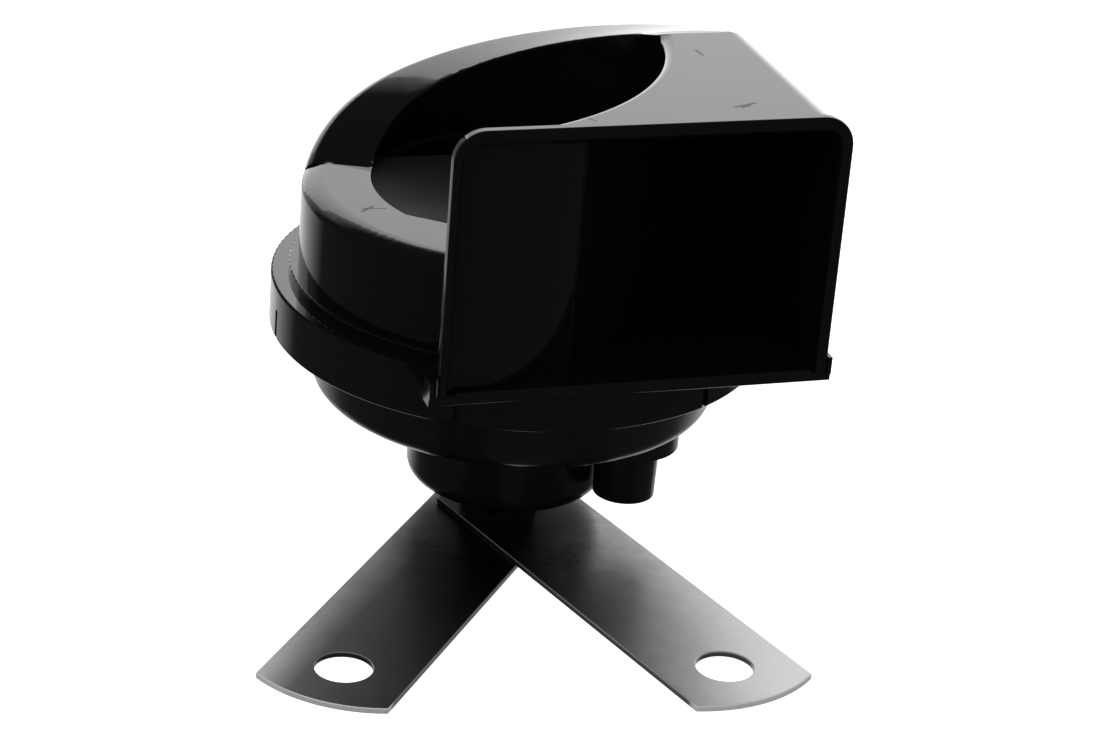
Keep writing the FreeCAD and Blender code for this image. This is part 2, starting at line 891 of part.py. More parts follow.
def moving_contact_arm():
    """Spring arm whose cranked tip lies just under the armature's collar."""
    half = contact_width / 2
    low = moving_arm_level()
    thick = moving_arm_thickness
    tip_level = diaphragm_bottom - collar_thickness - fit_gap - thick
    bend = contact_point_radius - half - 1
    tip_start = collar_diameter / 2 + 0.6
    tip_end = armature_diameter / 2 + 1.0
    side = [
        (contact_stack_radius + half, low),
        (bend, low),
        (tip_start, tip_level),
        (tip_end, tip_level),
        (tip_end, tip_level + thick),
        (tip_start + thick * 0.5, tip_level + thick),
        (bend + thick * 0.5, low + thick),
        (contact_stack_radius + half, low + thick),
    ]
    corners = [Vector(x, -half, z) for x, z in side]
    face = Part.Face(Part.makePolygon(corners + corners[:1]))
    arm = face.extrude(Vector(0, contact_width, 0))
    hole = disc(contact_rivet_diameter, low - 1, low + 2, contact_stack_radius, 0)
    return turned(arm.cut(hole), tower_turn)


def contact_point(bottom):
    point = disc(contact_point_diameter, bottom, bottom + contact_point_height)
    point.translate(Vector(contact_point_radius, 0, 0))
    return turned(point, tower_turn)


def blade_offsets():
    return (-blade_pitch / 2, blade_pitch / 2)


def rivet_places():
    """Where the two rivets of the terminal block pass through the pan."""
    radius = terminal_block_radius + terminal_block_length / 3
    turn = FreeCAD.Rotation(up, terminal_turn)
    return [turn.multVec(Vector(radius, offset, 0)) for offset in blade_offsets()]


def terminal_block():
    """Insulating block under the pan that carries the two blades."""
    half = terminal_block_width / 2
    near = terminal_block_radius
    far = near + terminal_block_length
    body = block(near, far, -half, half, pan_bottom - terminal_block_height, pan_bottom)
    body = rounded(body, 2.0, lambda edge: edge.BoundBox.ZLength > terminal_block_height - 0.1)
    body = turned(body, terminal_turn)
    middle = pan_bottom - terminal_block_height / 2
    for offset in blade_offsets():
        body = body.cut(terminal_blade(offset))
    for place in rivet_places():
        low = middle - terminal_block_height
        top = middle + terminal_block_height
        body = body.cut(disc(terminal_rivet_diameter, low, top, place.x, place.y))
    return body


def terminal_blade(offset):
    """Flat blade with a tapered end, held in the block and open to the back."""
    half = blade_width / 2
    near = terminal_block_radius + 2.0
    far = near + blade_length
    middle = pan_bottom - terminal_block_height / 2
    low = middle - blade_thickness / 2
    nose = blade_width / 5
    corners = [
        Vector(near, offset - half, low),
        Vector(far - nose, offset - half, low),
        Vector(far, offset - half + nose, low),
        Vector(far, offset + half - nose, low),
        Vector(far - nose, offset + half, low),
        Vector(near, offset + half, low),
    ]
    blade = Part.Face(Part.makePolygon(corners + corners[:1])).extrude(Vector(0, 0, blade_thickness))
    hole_x = near + blade_length - 2.6 * nose
    blade = blade.cut(disc(1.6, low - 1, low + 2, hole_x, offset))
    rivet_x = terminal_block_radius + terminal_block_length / 3
    blade = blade.cut(disc(terminal_rivet_diameter, low - 1, low + 2, rivet_x, offset))
    return turned(blade, terminal_turn)


def terminal_rivets():
    low = pan_bottom - terminal_block_height
    rivets = []
    for place in rivet_places():
        shank = disc(terminal_rivet_diameter, low, pan_floor, place.x, place.y)
        lower = disc(2 * terminal_rivet_diameter, low - rivet_head, low, place.x, place.y)
        upper = disc(2 * terminal_rivet_diameter, pan_floor, pan_floor + rivet_head, place.x, place.y)
        rivets.append(shank.fuse([lower, upper]).removeSplitter())
    return Part.makeCompound(rivets)


def spark_resistor():
    """Ceramic resistor that lies across the pan's floor in a sheet clip."""
    radius = resistor_diameter / 2
    level = pan_floor + resistor_clip + radius
    start = Vector(resistor_radius, -resistor_length / 2, level)
    body = Part.makeCylinder(radius, resistor_length, start, Vector(0, 1, 0))
    return turned(body, resistor_turn)


def resistor_cradle():
    """Folded sheet clip that holds the resistor on the pan's floor."""
    radius = resistor_diameter / 2
    level = pan_floor + resistor_clip + radius
    length = resistor_length / 2
    outer = block(
        resistor_radius - radius - resistor_clip, resistor_radius + radius + resistor_clip,
        -length / 2, length / 2, pan_floor, level,
    )
    room = Part.makeCylinder(radius, 3 * length, Vector(resistor_radius, -length * 1.5, level),
                             Vector(0, 1, 0))
    return turned(outer.cut(room), resistor_turn)


os.makedirs("parts", exist_ok=True)
save("bracket_right", mounting_strip(right_strip_turn, 0))
save("bracket_left", mounting_strip(left_strip_turn, -strip_thickness))
save("lock_washer", lock_washer())
save("stud_nut", stud_nut())
save("core_nut", core_nut())
save("core_stud", core_stud())
save("housing", housing())
save("lower_gasket", gasket(flange_top))
save("upper_gasket", gasket(diaphragm_top))
save("diaphragm", diaphragm())
save("armature", armature())
save("armature_nut", armature_nut())
save("coil_bobbin", coil_bobbin())
save("coil_winding", coil_winding())
save("trumpet_base", trumpet_base())
save("snail_shell", snail_shell())
save("adjuster_tower", adjuster_tower())
save("adjusting_screw", adjusting_screw())
save("contact_post", contact_post())
save("contact_spacer", contact_spacer())
save("contact_rivet", contact_rivet())
save("fixed_contact_arm", fixed_contact_arm())
save("moving_contact_arm", moving_contact_arm())
save("fixed_contact", contact_point(arm_level() + fixed_arm_thickness))
save("moving_contact", contact_point(arm_level() + fixed_arm_thickness + contact_point_height))
save("terminal_block", terminal_block())
save("terminal_blade_left", terminal_blade(blade_offsets()[1]))
save("terminal_blade_right", terminal_blade(blade_offsets()[0]))
save("terminal_rivets", terminal_rivets())
save("spark_resistor", spark_resistor())
save("resistor_cradle", resistor_cradle())
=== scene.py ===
# %% [markdown]
# # A snail horn in a studio
#
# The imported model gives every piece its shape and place. This lesson dresses it. We set up the
# camera and the light, make each material from shader nodes, and model the small details that
# the frame leaves out. All lengths are in metres, except where a comment says millimetres.

# %% Load the frame
import math
import bpy
import bmesh
from mathutils import Matrix, Vector


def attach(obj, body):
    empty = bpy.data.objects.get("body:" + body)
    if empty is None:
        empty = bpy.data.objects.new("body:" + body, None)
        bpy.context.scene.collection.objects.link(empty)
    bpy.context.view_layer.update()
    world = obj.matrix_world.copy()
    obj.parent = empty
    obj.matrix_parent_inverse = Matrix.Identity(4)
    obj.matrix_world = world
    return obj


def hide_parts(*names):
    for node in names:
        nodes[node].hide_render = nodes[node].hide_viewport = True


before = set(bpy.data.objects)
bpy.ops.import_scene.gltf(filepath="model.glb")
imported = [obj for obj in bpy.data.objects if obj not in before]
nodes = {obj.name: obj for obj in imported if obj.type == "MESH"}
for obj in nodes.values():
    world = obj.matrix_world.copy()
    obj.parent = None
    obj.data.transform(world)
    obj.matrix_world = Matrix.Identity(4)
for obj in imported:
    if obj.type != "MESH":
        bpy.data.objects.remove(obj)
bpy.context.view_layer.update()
print("pieces in the frame:", len(nodes))

# %% [markdown]
# The frame's origin is the bolt hole of the right strip. The horn's own axis stands beside it,
# so we keep its place in two numbers and measure everything else from there.

# %% Place of the horn's axis
MM = 0.001
STRIP_REACH = 64.0 * MM
STRIP_TURN = math.radians(15.6 - 90)
AXIS = Vector((-STRIP_REACH * math.cos(STRIP_TURN), -STRIP_REACH * math.sin(STRIP_TURN), 0))


def around(radius, degrees, height):
    """Point at a radius and a turn about the horn's axis, in millimetres."""
    turn = math.radians(degrees)
    spot = Vector((radius * math.cos(turn), radius * math.sin(turn), height))
    return AXIS + spot * MM


print("axis of the horn:", [round(v, 4) for v in AXIS])

# %% [markdown]
# ## Camera
#
# The camera looks down at the mouth from the front left. The whole horn leans a little in the
# picture, so the camera is rolled by a few degrees. A camera can be moved by hand until the
# picture fits, but this one was worked out from straight edges and holes in the photograph, so
# it is written as a matrix. Its right, up and back directions are the columns of its rotation.

# %% Camera
camera_data = bpy.data.cameras.new("camera")
camera_data.sensor_width = 36.0
camera_data.lens = 101.1
camera_data.clip_start = 0.01
camera_data.clip_end = 20.0
camera = bpy.data.objects.new("camera", camera_data)
bpy.context.scene.collection.objects.link(camera)
right = Vector((0.950183, -0.302379, 0.075624)).normalized()
back = Vector((-0.305472, -0.855165, 0.418784))
back = (back - back.dot(right) * right).normalized()
above = back.cross(right)
eye = AXIS + Vector((-151.74, -445.77, 240.77)) * MM
camera.matrix_world = Matrix((
    (right.x, above.x, back.x, eye.x),
    (right.y, above.y, back.y, eye.y),
    (right.z, above.z, back.z, eye.z),
    (0, 0, 0, 1),
))
bpy.context.scene.camera = camera
print("camera distance:", round((eye - AXIS).length, 3))

# %% [markdown]
# ## Shader maths
#
# A node graph can be built one node and one link at a time, but it is easier to read as a sum.
# A small class wraps a socket, and its operators add Math nodes. One method makes every other
# kind of node.

# %% Shader helper


class Sock:
    """A socket in a node tree that takes part in sums."""

    def __init__(self, graph, socket):
        self.graph = graph
        self.socket = socket

    def _math(self, operation, other=None, first=None):
        """Adds one Math node and returns what it gives."""
        node = self.graph.tree.nodes.new("ShaderNodeMath")
        node.operation = operation
        self.graph.link(self if first is None else first, node.inputs[0])
        if other is not None:
            self.graph.link(other, node.inputs[1])
        return Sock(self.graph, node.outputs[0])

    def __add__(self, other):
        return self._math("ADD", other)

    __radd__ = __add__

    def __sub__(self, other):
        return self._math("SUBTRACT", other)

    def __rsub__(self, other):
        return self._math("SUBTRACT", self, first=other)

    def __mul__(self, other):
        return self._math("MULTIPLY", other)

    __rmul__ = __mul__

    def __truediv__(self, other):
        return self._math("DIVIDE", other)

    def __pow__(self, other):
        return self._math("POWER", other)

    def __gt__(self, other):
        return self._math("GREATER_THAN", other)

    def __lt__(self, other):
        return self._math("LESS_THAN", other)

    def clamp(self, low=0.0, high=1.0):
        """The value, held between two limits."""
        return self._math("MAXIMUM", low)._math("MINIMUM", high)

    def root(self):
        """Square root of the value."""
        return self._math("SQRT")

    def size(self):
        """The value without its sign."""
        return self._math("ABSOLUTE")


class Graph:
    """Node tree of one material, with its Principled shader."""

    def __init__(self, name):
        self.material = bpy.data.materials.new(name)
        self.material.use_nodes = True
        self.tree = self.material.node_tree
        self.tree.nodes.clear()
        self.shader = self.tree.nodes.new("ShaderNodeBsdfPrincipled")
        output = self.tree.nodes.new("ShaderNodeOutputMaterial")
        self.tree.links.new(self.shader.outputs[0], output.inputs["Surface"])
        coordinates = self.tree.nodes.new("ShaderNodeTexCoord")
        self.place = Sock(self, coordinates.outputs["Object"])

    def axes(self):
        """The three coordinates of the object as sockets."""
        return [self.node("SeparateXYZ", axis, Vector=self.place) for axis in range(3)]

    def link(self, value, target):
        """Links a socket to an input, or writes a plain value into it."""
        if isinstance(value, Sock):
            self.tree.links.new(value.socket, target)
        else:
            target.default_value = value

    def node(self, kind, output=0, settings=None, **inputs):
        """Adds a node, fills its inputs by name, and returns one output by number or name."""
        made = self.tree.nodes.new("ShaderNode" + kind)
        for key, value in (settings or {}).items():
            setattr(made, key, value)
        for key, value in inputs.items():
            self.link(value, made.inputs[key.replace("_", " ")])
        return Sock(self, made.outputs[output])

    def set(self, **inputs):
        """Fills inputs of the Principled shader."""
        for key, value in inputs.items():
            self.link(value, self.shader.inputs[key.replace("_", " ")])

    def noise(self, scale, detail=4.0, roughness=0.5, where=None):
        """Noise from 0 to 1, with a scale in cells per metre."""
        where = self.place if where is None else where
        return self.node("TexNoise", Vector=where, Scale=scale, Detail=detail, Roughness=roughness)

    def between(self, factor, low, high):
        """Colour between two colours: a Mix node has them at inputs 6 and 7 and at output 2."""
        made = self.tree.nodes.new("ShaderNodeMix")
        made.data_type = "RGBA"
        self.link(factor, made.inputs[0])
        self.link(low, made.inputs[6])
        self.link(high, made.inputs[7])
        return Sock(self, made.outputs[2])

    def bump(self, height, strength, distance):
        """Relief of the surface, with its depth as a distance in metres."""
        self.set(Normal=self.node("Bump", Height=height, Strength=strength, Distance=distance))


def paint(node_name, graph):
    """Gives a piece of the frame one material."""
    piece = nodes[node_name]
    piece.data.materials.clear()
    piece.data.materials.append(graph.material)
    print(node_name, "is finished in", graph.material.name)


# %% [markdown]
# ## Black mouldings
#
# The trumpet is polished in its mould, so its gloss is even, with a faint ripple. The shelf in
# the well is left matt, and duller still towards its inner and rear end. The shelf could have a
# material of its own, but a mask in the shader needs no cut in the mesh. We find the shelf by
# its height and by the outline of its shallow recess, a circle with one flat side.

# %% Matt shelf of the well
SHELF_LEVEL = 55.5 * MM
SHELF_BAND = 0.3 * MM
RECESS_RADIUS = 25.35 * MM
RECESS_FLAT = 22.35 * MM
RECESS_FLAT_TURN = 232.3
gloss = Graph("gloss_black_moulding")
x, y, z = gloss.axes()
from_axis = ((x - AXIS.x) ** 2 + (y - AXIS.y) ** 2).root()
flat_side = (around(1.0, RECESS_FLAT_TURN, 0) - AXIS) / MM
towards_flat = (x - AXIS.x) * flat_side.x + (y - AXIS.y) * flat_side.y
in_recess = (from_axis < RECESS_RADIUS) * (towards_flat < RECESS_FLAT)
shelf = in_recess * ((z - SHELF_LEVEL).size() < SHELF_BAND)
inwards = ((25.0 * MM - from_axis) / (14.0 * MM)).clamp()
rearwards = ((y - AXIS.y + 8.0 * MM) / (14.0 * MM)).clamp()
shelf_matt = shelf * (0.58 + inwards * 0.2 + rearwards * 0.2)
print("shelf at", round(SHELF_LEVEL, 4), "m, recess radius", round(RECESS_RADIUS, 5), "m")

# %% [markdown]
# A horn that has been handled has a few short scuffs. A scuff is a fine scratch that scatters
# the light, so on a bright reflection it looks dark. An image could hold them, but a stroke
# written as a distance stays sharp at any size. Each one runs between two points, given in
# millimetres beside the axis, and a noise breaks it up.

# %% Scuffs on the roof and on the low band


def scuff(start, end, width):
    """Mask of a stroke: 1 on the line from start to end, 0 from width away."""
    first = Vector(start)
    reach = Vector(end) - first
    from_x = x - (AXIS.x + first.x * MM)
    from_y = y - (AXIS.y + first.y * MM)
    share = ((from_x * reach.x + from_y * reach.y) / (reach.length_squared * MM)).clamp()
    off_x = from_x - share * (reach.x * MM)
    off_y = from_y - share * (reach.y * MM)
    return (1 - (off_x ** 2 + off_y ** 2).root() / (width * MM)).clamp()


roof_scuffs = (
    scuff((20.8, -33.6), (24.6, -32.3), 0.55)
    + scuff((21.9, -33.9), (23.4, -33.2), 0.45)
    + scuff((23.7, -8.0), (24.1, -10.4), 0.50)
    + scuff((-3.4, -35.8), (-2.6, -37.1), 0.35)
)
band_scuffs = scuff((-29.6, -8.2), (-27.5, -6.3), 0.45) + scuff((-29.3, -7.0), (-25.7, -7.4), 0.35)
worn = ((roof_scuffs + band_scuffs) * gloss.noise(2600.0, 3.0) * 2.6).clamp()
print("nodes with the scuffs:", len(gloss.tree.nodes))

# %% Gloss black moulding
ripple = gloss.noise(45.0, 2.0)
fine = gloss.noise(1200.0, 3.0)
grain = gloss.noise(6000.0, 2.0)
gloss.set(
    Base_Color=gloss.between(
        (shelf + fine * 0.2).clamp(), (0.0020, 0.0020, 0.0022, 1), (0.0060, 0.0060, 0.0062, 1)
    ),
    Roughness=0.045 + fine * 0.03 + shelf_matt + worn * 0.4,
)
gloss.bump(ripple + grain * shelf * 0.15, 0.12, 0.0003)
paint("snail_shell", gloss)

# %% [markdown]
# The base is a second moulding with a little less polish. The adjuster's post and the terminal
# block are satin, with a fine grain. One black could serve for all of them, but on black pieces
# it is the gloss that tells one from the next, so each kind has its own.

# %% Gloss black base
gloss_base = Graph("gloss_black_base")
ripple = gloss_base.noise(60.0, 2.0)
fine = gloss_base.noise(1200.0, 3.0)
gloss_base.set(
    Base_Color=gloss_base.between(fine, (0.0022, 0.0022, 0.0024, 1), (0.0040, 0.0040, 0.0042, 1)),
    Roughness=0.07 + fine * 0.04,
)
gloss_base.bump(ripple, 0.12, 0.0003)
paint("trumpet_base", gloss_base)

# %% Satin black moulding
satin = Graph("satin_black_moulding")
grain = satin.noise(2500.0, 3.0)
haze = satin.noise(80.0, 3.0)
satin.set(
    Base_Color=satin.between(haze, (0.0030, 0.0030, 0.0032, 1), (0.0055, 0.0055, 0.0058, 1)),
    Roughness=0.22 + haze * 0.12,
)
satin.bump(grain, 0.12, 0.0001)
for name in ("adjuster_tower", "terminal_block"):
    paint(name, satin)

# %% [markdown]
# ## Enamel
#
# The steel housing is dipped in black enamel. A slow noise in the bump gives it the skin of an
# orange, and the enamel is a little duller in broad patches. Such a skin is too shallow to be
# worth any faces in the mesh, and a bump leaves the outline clean.

# %% Black enamel
enamel = Graph("black_enamel")
peel = enamel.noise(700.0, 2.0)
patch = enamel.noise(50.0, 3.0)
enamel.set(
    Base_Color=enamel.between(patch, (0.0025, 0.0025, 0.0027, 1), (0.0050, 0.0050, 0.0052, 1)),
    Roughness=0.16 + patch * 0.12,
)
enamel.bump(peel, 0.18, 0.00015)
paint("housing", enamel)

# %% [markdown]
# ## Plated steel
#
# Rolled and plated strip has a fine lengthwise grain and cloudy patches in the plating. Laid on
# as an image, the grain would need a flat layout of each strip. Here a noise is turned with the
# strip and squeezed across it, and gives the same lines.
#
# The colour has painted shade under the horn and painted light that grows towards the strips'
# free ends. Where the normal leans over, the shears left bare metal, and on the round foot its
# colour is raised almost to white as a painted highlight. The left strip has painted shade over
# all but one long edge, which keeps a painted sheen.

# %% Plated strips
STRIP_HALF_WIDTH = 11 * MM
# Painted shade under the horn: the strips' colour is darkest near the stud and grows lighter out
# to the third of these distances.
SHADE_DARKEST_TO = 9 * MM
SHADED_TO = 14 * MM
BRIGHT_FROM = 66 * MM
FOOT_FROM = 70.5 * MM
FOOT_FADE = 1.5 * MM
LEFT_STRIP_TURN = math.radians(-39.0 - 90)


def plated_strip(name, turn, shaded_side):
    """Plated strip, grain along its length; the last argument paints shade on all but one long
    edge.
    """
    steel = Graph(name)
    x, y, _ = steel.axes()
    along = steel.node("VectorRotate", settings={"rotation_type": "Z_AXIS"},
                       Vector=steel.place, Angle=-turn)
    stretched = steel.node("Mapping", Vector=along, Scale=(4.0, 90.0, 1.0))
    grain = steel.noise(60.0, 4.0, 0.6, stretched)
    cloud = steel.noise(260.0, 5.0, 0.65)
    patch = steel.noise(45.0, 3.0)

    from_stud = ((x - AXIS.x) ** 2 + (y - AXIS.y) ** 2).root()
    # Painted shade under the horn, darkest near the stud, then painted light rising towards the
    # free end.
    painted_shade_under_horn = ((from_stud - SHADE_DARKEST_TO) / SHADE_DARKEST_TO).clamp()
    painted_light_to_tip = ((from_stud - SHADED_TO) / (BRIGHT_FROM - SHADED_TO)).clamp()
    across = (y - AXIS.y) * math.cos(turn) - (x - AXIS.x) * math.sin(turn)
    # Painted shade across the strip: one long edge keeps a painted sheen, and the rest is
    # darkened.
    sheen = ((0 - across / STRIP_HALF_WIDTH - 0.4) / 0.5).clamp()
    side_shade = 1 - shaded_side + (sheen * 0.8 + 0.3) * shaded_side

    upright = steel.node("SeparateXYZ", "Z", Vector=steel.node("NewGeometry", "Normal")).size()
    leaning = upright < 0.97
    turned_over = leaning * (upright > 0.2)
    # Bare sheared edges are lighter metal, and on the foot their colour is raised almost to white
    # as a painted highlight.
    foot_end = leaning * ((from_stud - FOOT_FROM) / FOOT_FADE).clamp()
    bare_edge_and_glint = (foot_end * (0.5 + grain * 0.5) + turned_over * 0.4).clamp()

    # Tone of the plating, with the painted shade and painted light added.
    plating_and_shade = cloud * 0.25 + patch * 0.15 + grain * 0.1 + painted_light_to_tip * 0.57 - 0.1 - 0.1 * shaded_side
    tone = (plating_and_shade * side_shade * (painted_shade_under_horn * 0.8 + 0.2) + bare_edge_and_glint * 0.9).clamp()
    steel.set(
        Base_Color=steel.between(tone, (0.035, 0.035, 0.037, 1), (0.72, 0.72, 0.73, 1)),
        Metallic=1.0 - bare_edge_and_glint * 0.9,
        Roughness=0.20 + painted_light_to_tip * 0.15 + cloud * 0.10 + bare_edge_and_glint * 0.2,
    )
    steel.bump(grain * 0.6 + cloud * 0.4, 0.05, 0.00004)
    return steel


strip_finish = {
    "bracket_right": plated_strip("plated_strip_right", STRIP_TURN, 0.0),
    "bracket_left": plated_strip("plated_strip_left", LEFT_STRIP_TURN, 1.0),
}
for name, steel in strip_finish.items():
    paint(name, steel)

# %% [markdown]
# ## Small metal pieces and insulators
#
# The closed housing holds pieces of steel, brass, tungsten, copper, nylon, paper and ceramic.
# Each could have a graph of its own, but they differ only in their tones, their roughness and
# the size of their grain. Two helpers make them all: one for metals, one for insulators.

# %% Metals of the small pieces


def metal(name, dark, light, roughness, scale=400.0):
    """Plain metal with a cloudy tone and fine scratches in its bump."""
    made = Graph(name)
    cloud = made.noise(scale, 4.0, 0.6)
    made.set(
        Base_Color=made.between(cloud, dark + (1,), light + (1,)),
        Metallic=1.0,
        Roughness=roughness - 0.06 + cloud * 0.12,
    )
    made.bump(made.noise(scale * 6, 3.0), 0.10, 0.00005)
    return made


def dull(name, dark, light, roughness, scale=300.0):
    """Plain insulating material with a cloudy tone and a fine grain."""
    made = Graph(name)
    cloud = made.noise(scale, 4.0, 0.6)
    made.set(
        Base_Color=made.between(cloud, dark + (1,), light + (1,)),
        Roughness=roughness - 0.08 + cloud * 0.16,
    )
    made.bump(made.noise(scale * 8, 3.0), 0.15, 0.00005)
    return made


zinc = metal("zinc_fastener", (0.45, 0.46, 0.48), (0.72, 0.73, 0.74), 0.30)
turned_steel = metal("turned_steel", (0.36, 0.36, 0.36), (0.58, 0.58, 0.58), 0.34)
spring_steel = metal("spring_steel", (0.34, 0.34, 0.35), (0.55, 0.55, 0.55), 0.26)
brass = metal("contact_brass", (0.55, 0.40, 0.17), (0.78, 0.60, 0.30), 0.28)
tungsten = metal("contact_tip", (0.30, 0.30, 0.32), (0.48, 0.48, 0.50), 0.38)
tinned = metal("tinned_brass", (0.50, 0.49, 0.46), (0.72, 0.71, 0.67), 0.30)
copper = metal("enamelled_wire", (0.40, 0.13, 0.05), (0.62, 0.24, 0.10), 0.30, 900.0)
gasket = dull("gasket_paper", (0.05, 0.045, 0.04), (0.12, 0.11, 0.09), 0.85)
nylon = dull("natural_nylon", (0.55, 0.52, 0.44), (0.72, 0.69, 0.60), 0.45)
ceramic = dull("resistor_ceramic", (0.45, 0.41, 0.33), (0.62, 0.58, 0.48), 0.75)

finishes = {
    zinc: ("core_nut", "stud_nut", "lock_washer", "armature_nut", "adjusting_screw"),
    turned_steel: ("core_stud", "armature"),
    spring_steel: ("diaphragm", "moving_contact_arm", "resistor_cradle"),
    brass: ("contact_post", "contact_rivet", "fixed_contact_arm"),
    tungsten: ("fixed_contact", "moving_contact"),
    tinned: ("terminal_blade_left", "terminal_blade_right", "terminal_rivets"),
    copper: ("coil_winding",),
    gasket: ("upper_gasket", "lower_gasket"),
    nylon: ("coil_bobbin", "contact_spacer"),
    ceramic: ("spark_resistor",),
}
for material, names in finishes.items():
    for name in names:
        paint(name, material)
print("materials:", len(bpy.data.materials))

# %% [markdown]
# ## Soft rims of the trumpet
#
# A moulding has no knife edges, and it is the thin light line along each rim that shows how
# thick the wall is. The frame's trumpet also keeps one square corner at the top left of the
# mouth, where the real one is round. We copy its mesh, merge the loose triangles, slice the
# corner along planes that touch the round, and bevel the rims that the eye meets. A Bevel
# modifier would round every sharp edge alike, but here three rims need three different widths.

# %% Copy of a frame piece
MERGE_WITHIN = 0.001 * MM
FLAT_WITHIN = math.radians(0.05)
SHARP_FROM = math.radians(38)


def merged_copy(name):
    """Mesh of a frame piece as a bmesh, with its loose triangles merged and flats joined."""
    form = bmesh.new()
    form.from_mesh(nodes[name].data)
    bmesh.ops.remove_doubles(form, verts=form.verts, dist=MERGE_WITHIN)
    bmesh.ops.dissolve_limit(form, angle_limit=FLAT_WITHIN, verts=form.verts, edges=form.edges)
    print(name, "merged to", len(form.verts), "corners")
    return form


def round_edges(form, edges, width, segments):
    """Bevels edges to a round of a width in metres."""
    bmesh.ops.bevel(
        form, geom=edges, offset=width, offset_type="OFFSET", affect="EDGES",
        segments=segments, profile=0.5, material=-1, clamp_overlap=False,
    )


def finished(name, form, graph, body, stands_for=()):
    """Turns a bmesh into a piece with smooth faces, rides it and gives it a finish."""
    mesh = bpy.data.meshes.new(name)
    form.to_mesh(mesh)
    form.free()
    old_normals = mesh.attributes.get("custom_normal")
    if old_normals:
        mesh.attributes.remove(old_normals)
    mesh.shade_smooth()
    mesh.set_sharp_from_angle(angle=SHARP_FROM)
    mesh.materials.append(graph.material)
    piece = bpy.data.objects.new(name, mesh)
    bpy.context.scene.collection.objects.link(piece)
    even = piece.modifiers.new("even_normals", "WEIGHTED_NORMAL")
    even.keep_sharp = True
    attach(piece, body)
    if stands_for:
        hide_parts(*stands_for)
    print(name, len(mesh.polygons), "faces")
    return piece


# %% [markdown]
# The corner's sizes are in millimetres, and heights start at the base's upper face, as in the
# frame's source. Nine planes turn a square corner into a round one, and each cut is closed at
# once, so the mesh stays a solid.

# %% Round corner of the mouth
BASE_TOP = 40.0
MOUTH_LEFT = -25.8
MOUTH_FRONT = -42.65
LIP_DEPTH = 1.6
LIP_TOP = 42.35
CORNER = 4.95
CORNER_CUTS = 9
corner_middle = AXIS + Vector((MOUTH_LEFT + CORNER, 0, BASE_TOP + LIP_TOP - CORNER)) * MM
front_y = AXIS.y + MOUTH_FRONT * MM
shell = merged_copy("snail_shell")


def in_corner(vert):
    """True for a corner of the mesh at the top left of the mouth."""
    left = vert.co.x < corner_middle.x
    high = vert.co.z > corner_middle.z
    near = vert.co.y < front_y + (LIP_DEPTH + 0.8) * MM
    return left and high and near


def slice_corner(form, turn):
    """Cuts the corner along the plane that touches its round at a turn, and closes the cut."""
    outward = Vector((math.cos(turn), 0, math.sin(turn)))
    faces = [face for face in form.faces if any(in_corner(vert) for vert in face.verts)]
    edges = list({edge for face in faces for edge in face.edges})
    verts = list({vert for face in faces for vert in face.verts})
    bmesh.ops.bisect_plane(
        form, geom=verts + edges + faces, dist=MERGE_WITHIN, clear_outer=True,
        plane_co=corner_middle + outward * CORNER * MM, plane_no=outward,
    )
    open_edges = [edge for edge in form.edges if edge.is_boundary]
    bmesh.ops.holes_fill(form, edges=open_edges, sides=0)


for step in range(CORNER_CUTS):
    slice_corner(shell, math.radians(90 + 90 * (step + 0.5) / CORNER_CUTS))
print("open edges after slicing:", sum(edge.is_boundary for edge in shell.edges))

# %% [markdown]
# The rims are found by their place. The well is a circle about the axis, and the roof ends on a
# flat arc whose middle lies left of the axis. A test says whether a corner lies on a rim, and an
# edge is rounded when it is sharp and both its corners pass.

# %% Tests for the rims
WELL_RADIUS = 25.3
ARC_RADIUS = 51.4
ARC_CROWN = 3.4
ROOF = 41.2
LOW_TOP = 16.3
RAMP_FROM = 9
arc_x = WELL_RADIUS - ARC_CROWN - ARC_RADIUS
lip_back = MOUTH_FRONT + LIP_DEPTH
arc_y = math.sqrt(ARC_RADIUS ** 2 - (MOUTH_LEFT - arc_x) ** 2) + lip_back
print("middle of the roof's arc:", round(arc_x, 1), round(arc_y, 1), "mm from the axis")


def drawn(vert):
    """Place of a corner in millimetres from the horn's axis and the base's upper face."""
    spot = (vert.co - AXIS) / MM
    return Vector((spot.x, spot.y, spot.z - BASE_TOP))


def is_sharp(edge):
    """True for an edge between two faces that meet at more than the sharp angle."""
    return len(edge.link_faces) == 2 and edge.calc_face_angle() > SHARP_FROM


def on_mouth_left(spot):
    """True on the left edge of the mouth's front and on the round above it."""
    middle_z = LIP_TOP - CORNER
    left_side = abs(spot.x - MOUTH_LEFT) < 0.02 and spot.z < middle_z + 0.02
    from_middle = math.hypot(spot.x - MOUTH_LEFT - CORNER, spot.z - middle_z)
    on_round = spot.x < MOUTH_LEFT + CORNER and spot.z > middle_z and from_middle > CORNER - 0.06
    return abs(spot.y - MOUTH_FRONT) < 0.02 and (left_side or on_round)


def on_roof_rim(spot):
    """True on the arc where the roof meets the well."""
    on_arc = abs(math.hypot(spot.x - arc_x, spot.y - arc_y) - ARC_RADIUS) < 0.03
    return on_arc and spot.z > ROOF - 0.05 and lip_back + 0.05 < spot.y < RAMP_FROM


def on_ramp_rim(spot):
    """True on the circle where the winding ramp meets the well."""
    on_circle = abs(math.hypot(spot.x, spot.y) - WELL_RADIUS) < 0.03
    return on_circle and spot.z > LOW_TOP + 0.05 and spot.y > RAMP_FROM


# %% Rounding of the rims
RIM_ROUNDING = 0.45
WELL_ROUNDING = 0.4
ROOF_ROUNDING = 1.6


def round_rim(form, lies_on, width, segments):
    """Rounds the sharp edges whose two corners both pass a test."""
    rim = []
    for edge in form.edges:
        if is_sharp(edge) and all(lies_on(drawn(vert)) for vert in edge.verts):
            rim.append(edge)
    round_edges(form, rim, width * MM, segments)
    print("rounded edges:", len(rim))


